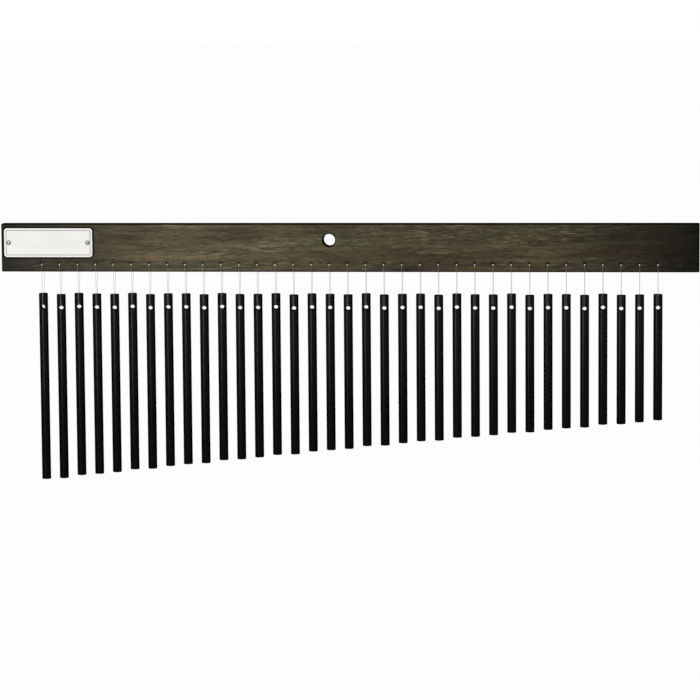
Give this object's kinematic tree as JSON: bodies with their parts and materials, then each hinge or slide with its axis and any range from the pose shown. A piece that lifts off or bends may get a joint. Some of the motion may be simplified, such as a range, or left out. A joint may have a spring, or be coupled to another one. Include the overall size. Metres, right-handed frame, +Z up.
{
  "type": "bar chimes",
  "caption": "Bar chimes: a stained wooden mantle with a stand bore and a bare nameplate, carrying a row of graduated black metal bars on cord loops that swing and ring when swept.",
  "frame": {"origin": "centre of the stand bore, halfway through the mantle's thickness", "axes": "+X along the mantle from the longest bar to the shortest, +Z up, the front faces -Y"},
  "size_m": [0.7333, 0.0182, 0.2725],
  "materials": {
    "stained_wood": "dark stain, satin, open grain",
    "nameplate_metal": "brushed",
    "pin_metal": "nickel plated",
    "clear_cord": "clear monofilament",
    "black_bar": "black anodised, satin"
  },
  "bodies": {
    "root": {"mantle": "stained_wood", "nameplate": "nameplate_metal", "nameplate_pin_left": "pin_metal", "nameplate_pin_right": "pin_metal", "cord_loops": "clear_cord"},
    "bar_01": {"chime_bar_01": "black_bar"},
    "bar_02": {"chime_bar_02": "black_bar"},
    "bar_03": {"chime_bar_03": "black_bar"},
    "bar_04": {"chime_bar_04": "black_bar"},
    "bar_05": {"chime_bar_05": "black_bar"},
    "bar_06": {"chime_bar_06": "black_bar"},
    "bar_07": {"chime_bar_07": "black_bar"},
    "bar_08": {"chime_bar_08": "black_bar"},
    "bar_09": {"chime_bar_09": "black_bar"},
    "bar_10": {"chime_bar_10": "black_bar"},
    "bar_11": {"chime_bar_11": "black_bar"},
    "bar_12": {"chime_bar_12": "black_bar"},
    "bar_13": {"chime_bar_13": "black_bar"},
    "bar_14": {"chime_bar_14": "black_bar"},
    "bar_15": {"chime_bar_15": "black_bar"},
    "bar_16": {"chime_bar_16": "black_bar"},
    "bar_17": {"chime_bar_17": "black_bar"},
    "bar_18": {"chime_bar_18": "black_bar"},
    "bar_19": {"chime_bar_19": "black_bar"},
    "bar_20": {"chime_bar_20": "black_bar"},
    "bar_21": {"chime_bar_21": "black_bar"},
    "bar_22": {"chime_bar_22": "black_bar"},
    "bar_23": {"chime_bar_23": "black_bar"},
    "bar_24": {"chime_bar_24": "black_bar"},
    "bar_25": {"chime_bar_25": "black_bar"},
    "bar_26": {"chime_bar_26": "black_bar"},
    "bar_27": {"chime_bar_27": "black_bar"},
    "bar_28": {"chime_bar_28": "black_bar"},
    "bar_29": {"chime_bar_29": "black_bar"},
    "bar_30": {"chime_bar_30": "black_bar"},
    "bar_31": {"chime_bar_31": "black_bar"},
    "bar_32": {"chime_bar_32": "black_bar"},
    "bar_33": {"chime_bar_33": "black_bar"},
    "bar_34": {"chime_bar_34": "black_bar"},
    "bar_35": {"chime_bar_35": "black_bar"}
  },
  "joints": [
    {"name": "bar_01_swing", "type": "hinge", "parent": "root", "child": "bar_01", "pos_m": [-0.3048, 0, -0.07103], "axis": [0, -1, 0], "range_deg": [-45, 2.87]},
    {"name": "bar_02_swing", "type": "hinge", "parent": "root", "child": "bar_02", "pos_m": [-0.28575, 0, -0.0722], "axis": [0, -1, 0], "range_deg": [-2.9, 2.9]},
    {"name": "bar_03_swing", "type": "hinge", "parent": "root", "child": "bar_03", "pos_m": [-0.2667, 0, -0.07094], "axis": [0, -1, 0], "range_deg": [-2.94, 2.94]},
    {"name": "bar_04_swing", "type": "hinge", "parent": "root", "child": "bar_04", "pos_m": [-0.24765, 0, -0.07162], "axis": [0, -1, 0], "range_deg": [-2.97, 2.97]},
    {"name": "bar_05_swing", "type": "hinge", "parent": "root", "child": "bar_05", "pos_m": [-0.2286, 0, -0.07188], "axis": [0, -1, 0], "range_deg": [-3.01, 3.01]},
    {"name": "bar_06_swing", "type": "hinge", "parent": "root", "child": "bar_06", "pos_m": [-0.20955, 0, -0.07082], "axis": [0, -1, 0], "range_deg": [-3.05, 3.05]},
    {"name": "bar_07_swing", "type": "hinge", "parent": "root", "child": "bar_07", "pos_m": [-0.1905, 0, -0.07212], "axis": [0, -1, 0], "range_deg": [-3.08, 3.08]},
    {"name": "bar_08_swing", "type": "hinge", "parent": "root", "child": "bar_08", "pos_m": [-0.17145, 0, -0.07126], "axis": [0, -1, 0], "range_deg": [-3.12, 3.12]},
    {"name": "bar_09_swing", "type": "hinge", "parent": "root", "child": "bar_09", "pos_m": [-0.1524, 0, -0.07123], "axis": [0, -1, 0], "range_deg": [-3.16, 3.16]},
    {"name": "bar_10_swing", "type": "hinge", "parent": "root", "child": "bar_10", "pos_m": [-0.13335, 0, -0.07213], "axis": [0, -1, 0], "range_deg": [-3.2, 3.2]},
    {"name": "bar_11_swing", "type": "hinge", "parent": "root", "child": "bar_11", "pos_m": [-0.1143, 0, -0.07083], "axis": [0, -1, 0], "range_deg": [-3.24, 3.24]},
    {"name": "bar_12_swing", "type": "hinge", "parent": "root", "child": "bar_12", "pos_m": [-0.09525, 0, -0.07185], "axis": [0, -1, 0], "range_deg": [-3.28, 3.28]},
    {"name": "bar_13_swing", "type": "hinge", "parent": "root", "child": "bar_13", "pos_m": [-0.0762, 0, -0.07165], "axis": [0, -1, 0], "range_deg": [-3.33, 3.33]},
    {"name": "bar_14_swing", "type": "hinge", "parent": "root", "child": "bar_14", "pos_m": [-0.05715, 0, -0.07093], "axis": [0, -1, 0], "range_deg": [-3.37, 3.37]},
    {"name": "bar_15_swing", "type": "hinge", "parent": "root", "child": "bar_15", "pos_m": [-0.0381, 0, -0.07219], "axis": [0, -1, 0], "range_deg": [-3.41, 3.41]},
    {"name": "bar_16_swing", "type": "hinge", "parent": "root", "child": "bar_16", "pos_m": [-0.01905, 0, -0.07105], "axis": [0, -1, 0], "range_deg": [-3.46, 3.46]},
    {"name": "bar_17_swing", "type": "hinge", "parent": "root", "child": "bar_17", "pos_m": [0, 0, -0.07147], "axis": [0, -1, 0], "range_deg": [-3.5, 3.5]},
    {"name": "bar_18_swing", "type": "hinge", "parent": "root", "child": "bar_18", "pos_m": [0.01905, 0, -0.072], "axis": [0, -1, 0], "range_deg": [-3.55, 3.55]},
    {"name": "bar_19_swing", "type": "hinge", "parent": "root", "child": "bar_19", "pos_m": [0.0381, 0, -0.0708], "axis": [0, -1, 0], "range_deg": [-3.59, 3.59]},
    {"name": "bar_20_swing", "type": "hinge", "parent": "root", "child": "bar_20", "pos_m": [0.05715, 0, -0.07204], "axis": [0, -1, 0], "range_deg": [-3.64, 3.64]},
    {"name": "bar_21_swing", "type": "hinge", "parent": "root", "child": "bar_21", "pos_m": [0.0762, 0, -0.07141], "axis": [0, -1, 0], "range_deg": [-3.69, 3.69]},
    {"name": "bar_22_swing", "type": "hinge", "parent": "root", "child": "bar_22", "pos_m": [0.09525, 0, -0.0711], "axis": [0, -1, 0], "range_deg": [-3.74, 3.74]},
    {"name": "bar_23_swing", "type": "hinge", "parent": "root", "child": "bar_23", "pos_m": [0.1143, 0, -0.07218], "axis": [0, -1, 0], "range_deg": [-3.79, 3.79]},
    {"name": "bar_24_swing", "type": "hinge", "parent": "root", "child": "bar_24", "pos_m": [0.13335, 0, -0.07089], "axis": [0, -1, 0], "range_deg": [-3.84, 3.84]},
    {"name": "bar_25_swing", "type": "hinge", "parent": "root", "child": "bar_25", "pos_m": [0.1524, 0, -0.07171], "axis": [0, -1, 0], "range_deg": [-3.9, 3.9]},
    {"name": "bar_26_swing", "type": "hinge", "parent": "root", "child": "bar_26", "pos_m": [0.17145, 0, -0.0718], "axis": [0, -1, 0], "range_deg": [-3.95, 3.95]},
    {"name": "bar_27_swing", "type": "hinge", "parent": "root", "child": "bar_27", "pos_m": [0.1905, 0, -0.07085], "axis": [0, -1, 0], "range_deg": [-4, 4]},
    {"name": "bar_28_swing", "type": "hinge", "parent": "root", "child": "bar_28", "pos_m": [0.20955, 0, -0.07216], "axis": [0, -1, 0], "range_deg": [-4.06, 4.06]},
    {"name": "bar_29_swing", "type": "hinge", "parent": "root", "child": "bar_29", "pos_m": [0.2286, 0, -0.07118], "axis": [0, -1, 0], "range_deg": [-4.12, 4.12]},
    {"name": "bar_30_swing", "type": "hinge", "parent": "root", "child": "bar_30", "pos_m": [0.24765, 0, -0.07132], "axis": [0, -1, 0], "range_deg": [-4.18, 4.18]},
    {"name": "bar_31_swing", "type": "hinge", "parent": "root", "child": "bar_31", "pos_m": [0.2667, 0, -0.07209], "axis": [0, -1, 0], "range_deg": [-4.24, 4.24]},
    {"name": "bar_32_swing", "type": "hinge", "parent": "root", "child": "bar_32", "pos_m": [0.28575, 0, -0.07081], "axis": [0, -1, 0], "range_deg": [-4.3, 4.3]},
    {"name": "bar_33_swing", "type": "hinge", "parent": "root", "child": "bar_33", "pos_m": [0.3048, 0, -0.07193], "axis": [0, -1, 0], "range_deg": [-4.36, 4.36]},
    {"name": "bar_34_swing", "type": "hinge", "parent": "root", "child": "bar_34", "pos_m": [0.32385, 0, -0.07156], "axis": [0, -1, 0], "range_deg": [-4.42, 4.42]},
    {"name": "bar_35_swing", "type": "hinge", "parent": "root", "child": "bar_35", "pos_m": [0.3429, 0, -0.07098], "axis": [0, -1, 0], "range_deg": [-4.49, 45]}
  ]
}
